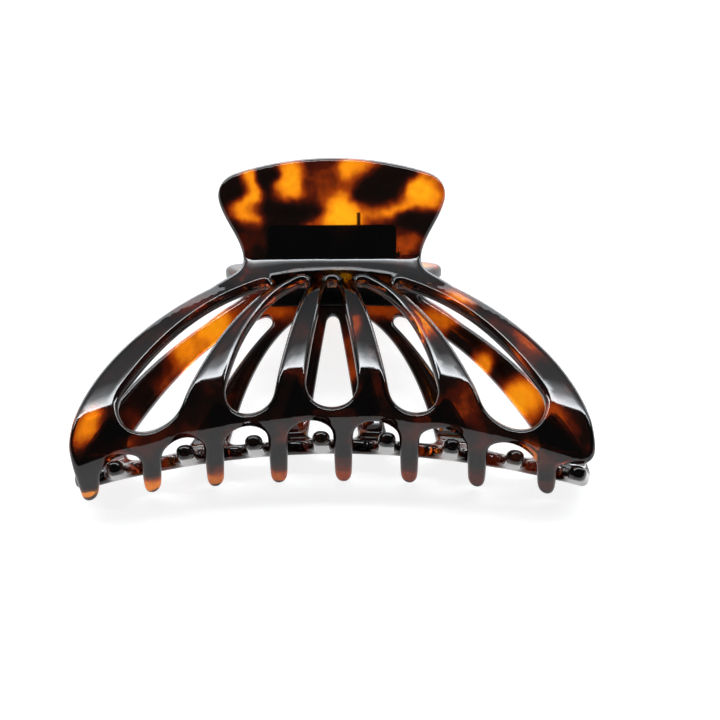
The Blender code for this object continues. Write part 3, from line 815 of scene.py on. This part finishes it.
def steel(name, dark, light, rough, metallic, streak):
    """Steel with uneven tone and fine bumps, stretched along X where it is drawn wire."""
    material = bpy.data.materials.new(name)
    material.use_nodes = True
    tree = material.node_tree
    shader = tree.nodes["Principled BSDF"]
    place = node(tree, "ShaderNodeTexCoord").outputs["Object"]
    stretched = vector_math(tree, "MULTIPLY", place, (streak, 1.0, 1.0))
    patches = noise(tree, stretched, STEEL_PATCH_SCALE, 4.0).outputs["Fac"]
    colour = ramp(tree, patches, ((NOISE_LOW, dark), (NOISE_HIGH, light)))
    tree.links.new(colour, shader.inputs["Base Color"])
    tree.links.new(spread(tree, patches, rough, rough * 1.5), shader.inputs["Roughness"])
    fine = noise(tree, stretched, STEEL_BUMP_SCALE, 3.0).outputs["Fac"]
    bumps = node(tree, "ShaderNodeBump", {"Height": fine, "Strength": 0.35, "Distance": 0.02 * MM})
    tree.links.new(bumps.outputs["Normal"], shader.inputs["Normal"])
    shader.inputs["Metallic"].default_value = metallic
    return material


def paper():
    """The floor: plain white and lit from within, so that clear pieces over it stay bright."""
    material = bpy.data.materials.new("white_floor")
    material.use_nodes = True
    tree = material.node_tree
    shader = tree.nodes["Principled BSDF"]
    place = node(tree, "ShaderNodeTexCoord").outputs["Object"]
    tone = noise(tree, place, 30.0).outputs["Fac"]
    colour = ramp(tree, tone, ((NOISE_LOW, FLOOR_LOW), (NOISE_HIGH, FLOOR_HIGH)))
    tree.links.new(colour, shader.inputs["Base Color"])
    shader.inputs["Roughness"].default_value = 0.9
    shader.inputs["Specular IOR Level"].default_value = 0.1
    shader.inputs["Emission Color"].default_value = (1.0, 1.0, 1.0, 1.0)
    shader.inputs["Emission Strength"].default_value = FLOOR_GLOW
    return material


# Amber, red-brown and dark places of the sheet: centre, radii and tone, from 0 dark to 1 amber.
HANDLE_BLOTCHES = (
    ((-17.0, -17.5), (2.4, 3.2), 0.80),
    ((-16.0, -13.5), (2.6, 3.4), 0.85),
    ((-16.5, -10.5), (3.8, 2.6), 0.80),
    ((-8.0, -17.0), (3.2, 4.6), 0.85),
    ((1.5, -10.3), (6.0, 4.6), 0.95),
    ((5.5, -19.0), (5.0, 2.8), 0.85),
    ((17.5, -14.5), (4.2, 4.2), 0.90),
    ((12.0, -11.0), (4.5, 2.2), 0.80),
    ((-2.0, -17.0), (3.5, 4.0), 0.42),
    ((15.0, -4.5), (3.0, 4.0), 0.50),
    ((-20.0, -15.5), (2.5, 2.6), 0.05),
    ((-13.0, -18.0), (2.0, 1.6), 0.05),
    ((-8.5, -10.8), (6.2, 2.3), 0.02),
    ((9.5, -15.5), (4.6, 4.0), 0.03),
    ((13.5, -18.5), (4.0, 1.8), 0.05),
    ((17.5, -8.0), (4.5, 2.4), 0.05),
)
UPPER_FAN_BLOTCHES = (
    ((-46.5, 31.0), (2.8, 3.2), 0.72),
    ((3.0, 3.0), (9.0, 2.6), 0.10),
    ((-29.0, 8.5), (4.0, 2.5), 0.38),
    ((-41.0, 37.5), (3.0, 2.0), 0.50),
    ((-12.0, 10.0), (2.0, 4.0), 0.55),
    ((4.5, 18.0), (1.5, 5.0), 0.55),
    ((18.0, 16.5), (2.4, 5.0), 0.72),
    ((25.5, 7.5), (4.0, 2.6), 0.78),
    ((38.5, 15.0), (3.6, 3.4), 0.55),
    ((42.5, 31.0), (3.0, 4.0), 0.50),
    ((38.5, 40.0), (2.5, 2.0), 0.65),
)
LOWER_FAN_BLOTCHES = (
    ((24.5, 6.5), (4.4, 4.4), 0.80),
    ((30.0, 10.5), (4.2, 3.6), 0.72),
    ((12.0, 4.5), (5.0, 2.0), 0.55),
    ((-22.0, 6.0), (5.0, 3.0), 0.60),
    ((-26.5, 10.0), (2.4, 3.0), 0.05),
    ((-31.0, 14.5), (3.2, 3.6), 0.70),
    ((-35.0, 15.5), (2.4, 3.0), 0.05),
    ((-38.0, 20.0), (4.0, 4.4), 0.80),
    ((-10.5, 4.5), (6.0, 2.0), 0.50),
    ((-3.5, 18.5), (1.5, 4.0), 0.50),
    ((30.0, 40.0), (3.5, 2.0), 0.65),
    ((-20.0, 41.0), (4.0, 2.0), 0.60),
)
TIP_LENGTH = 4.4          # amber-brown end of each tooth
TIP_BLEND = 1.8           # over which it comes in
UPPER_TIP_TONES = (0.78, 0.24)   # left end, right end
LOWER_TIP_TONES = (0.12, 0.04)

FLOOR_LOW = (0.33, 0.33, 0.33)
FLOOR_HIGH = (0.37, 0.37, 0.37)
FLOOR_GLOW = 0.85
FLOOR_REACH = 3.0         # metres

LAMP_DISTANCE = 1.2       # metres
LAMP_WIDTH = 3.6
LAMP_PEAK = 26.0          # radiance, against 1 for white
LAMP_TINT = (0.92, 0.96, 1.0, 1.0)
WORLD_GLOW = 0.06
# Each panel: the angles from straight up that it spans, and (place, radiance) stops over its height.
LIGHT_PANELS = {
    "main_panel": (
        20.0,
        56.0,
        ((0.0, 5.0), (0.05, 25.0), (0.12, 18.0), (0.21, 4.0), (0.34, 0.9), (1.0, 0.35)),
    ),
    "far_panel": (57.0, 76.0, ((0.0, 3.4), (1.0, 2.4))),
    "low_panel": (77.0, 86.0, ((0.0, 12.0), (1.0, 12.0))),
}


# ---- assembly --------------------------------------------------------------------------------------
LYING_TURN = -79.83       # degrees about the pin, from standing to lying on its back

pin_low, pin_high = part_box("hinge_pin")
pin_place = (Vector(pin_low) + Vector(pin_high)) / 2
UPPER = Matrix.Translation(pin_place) @ Matrix.Rotation(math.radians(LYING_TURN), 4, "X")
LOWER = UPPER @ Matrix.Rotation(math.pi, 4, "Z")


def add(name, mesh, material, placement, node_name, body):
    """A piece of the clip in place of its CAD node, riding on a body when one is given."""
    piece = bpy.data.objects.new(name, mesh.copy())
    bpy.context.scene.collection.objects.link(piece)
    piece.data.transform(placement)
    piece.data.materials.clear()
    piece.data.materials.append(material)
    if body:
        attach(piece, body)
    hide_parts(node_name)
    return piece


def build_clip():
    """Every visible piece of the clip, placed on its CAD node."""
    turned_handle = tuple(((-u, w), radii, tone) for (u, w), radii, tone in HANDLE_BLOTCHES)
    upper_blotches = HANDLE_BLOTCHES + UPPER_FAN_BLOTCHES
    lower_blotches = turned_handle + LOWER_FAN_BLOTCHES
    upper_acetate = acetate("tortoiseshell_upper", 0.0, upper_blotches, UPPER_TIP_TONES)
    lower_acetate = acetate("tortoiseshell_lower", 40.0, lower_blotches, LOWER_TIP_TONES)
    black = steel("black_steel", *BLACK_STEEL)
    bright = steel("bright_steel", *BRIGHT_STEEL)
    jaw = jaw_mesh()
    plate = plate_mesh()
    screw = screw_mesh()
    for side, material, placement in (("upper", upper_acetate, UPPER), ("lower", lower_acetate, LOWER)):
        add(side + "_jaw_shell", jaw, material, placement, side + "_jaw", side)
        plate_node = side + "_hinge_plate"
        add(plate_node + "_sheet", plate, black, placement, plate_node, side)
        for hand, sign in (("left", -1), ("right", 1)):
            screw_placement = placement @ sheet_frame(sign * SCREW_PLACE, SCREW_LINE)
            screw_node = side + "_plate_screw_" + hand
            add(screw_node + "_slotted", screw, black, screw_placement, screw_node, side)
    add("hinge_pin_riveted", pin_mesh(), bright, UPPER, "hinge_pin", "lower")
    wire = spring_mesh()
    spring = add("torsion_spring_wire", wire, bright, UPPER, "torsion_spring", None)
    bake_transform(spring)


def glowing(name, fade):
    """A light panel's material. Its glow runs over the panel's height as a ramp of radiance."""
    material = bpy.data.materials.new(name)
    material.use_nodes = True
    tree = material.node_tree
    tree.nodes.remove(tree.nodes["Principled BSDF"])
    place = node(tree, "ShaderNodeTexCoord").outputs["Generated"]
    height = node(tree, "ShaderNodeSeparateXYZ", {0: place}).outputs["Y"]
    stops = [(position, (glow / LAMP_PEAK,) * 3) for position, glow in fade]
    strength = math_node(tree, "MULTIPLY", ramp(tree, height, stops), LAMP_PEAK)
    light = node(tree, "ShaderNodeEmission", {"Color": LAMP_TINT, "Strength": strength})
    tree.links.new(light.outputs[0], tree.nodes["Material Output"].inputs["Surface"])
    return material


def light_panel(name, start, end, fade):
    """A wide panel behind the clip between two angles from straight up, in degrees."""
    corners = []
    for angle in (start, end):
        y = LAMP_DISTANCE * math.sin(math.radians(angle))
        z = LAMP_DISTANCE * math.cos(math.radians(angle))
        corners.append(Vector((0.0, y, z)))
    middle = (corners[0] + corners[1]) / 2
    along = corners[1] - corners[0]
    half = along.length / 2
    across = LAMP_WIDTH / 2
    mesh = bpy.data.meshes.new(name)
    flat = [(-across, -half, 0.0), (across, -half, 0.0), (across, half, 0.0), (-across, half, 0.0)]
    mesh.from_pydata(flat, [], [(0, 1, 2, 3)])
    mesh.materials.append(glowing(name, fade))
    panel = bpy.data.objects.new(name, mesh)
    bpy.context.scene.collection.objects.link(panel)
    facing = Vector((1.0, 0.0, 0.0)).cross(along).normalized()
    turn = Matrix((Vector((1.0, 0.0, 0.0)), along.normalized(), facing)).transposed()
    panel.matrix_world = Matrix.Translation(middle) @ turn.to_4x4()


def build_stage():
    """The pale floor, the light panels and a faint glow all round."""
    bm = bmesh.new()
    bmesh.ops.create_grid(bm, x_segments=8, y_segments=8, size=FLOOR_REACH)
    mesh = bpy.data.meshes.new("floor")
    bm.to_mesh(mesh)
    bm.free()
    floor = bpy.data.objects.new("floor", mesh)
    bpy.context.scene.collection.objects.link(floor)
    floor.data.materials.append(paper())

    for name, (start, end, fade) in LIGHT_PANELS.items():
        light_panel(name, start, end, fade)

    world = bpy.data.worlds.new("studio")
    bpy.context.scene.world = world
    world.use_nodes = True
    background = world.node_tree.nodes["Background"]
    background.inputs["Color"].default_value = (1.0, 1.0, 1.0, 1.0)
    background.inputs["Strength"].default_value = WORLD_GLOW


def build_camera():
    """The camera above the teeth's side, looking down at the clip."""
    elevation = math.radians(CAMERA_ELEVATION)
    forward = Vector((0.0, math.cos(elevation), -math.sin(elevation)))
    right = Vector((1.0, 0.0, 0.0))
    up = right.cross(forward)
    roll = math.radians(CAMERA_ROLL)
    turned_right = right * math.cos(roll) - up * math.sin(roll)
    turned_up = right * math.sin(roll) + up * math.cos(roll)
    teeth_side = UPPER.to_3x3() @ Vector((0.0, 0.0, -1.0))
    aim = UPPER.translation + teeth_side * AIM_ALONG * MM
    offset = turned_right * AIM_RIGHT - turned_up * AIM_DOWN - forward * CAMERA_DISTANCE
    place = aim + offset * MM
    data = bpy.data.cameras.new("camera")
    data.lens = CAMERA_LENS
    data.sensor_width = CAMERA_SENSOR
    data.clip_start = 0.001
    camera = bpy.data.objects.new("camera", data)
    bpy.context.scene.collection.objects.link(camera)
    turn = Matrix((turned_right, turned_up, -forward)).transposed()
    camera.matrix_world = Matrix.Translation(place) @ turn.to_4x4()
    bpy.context.scene.camera = camera


build_clip()
build_stage()
build_camera()
bpy.context.scene.view_settings.view_transform = "Standard"
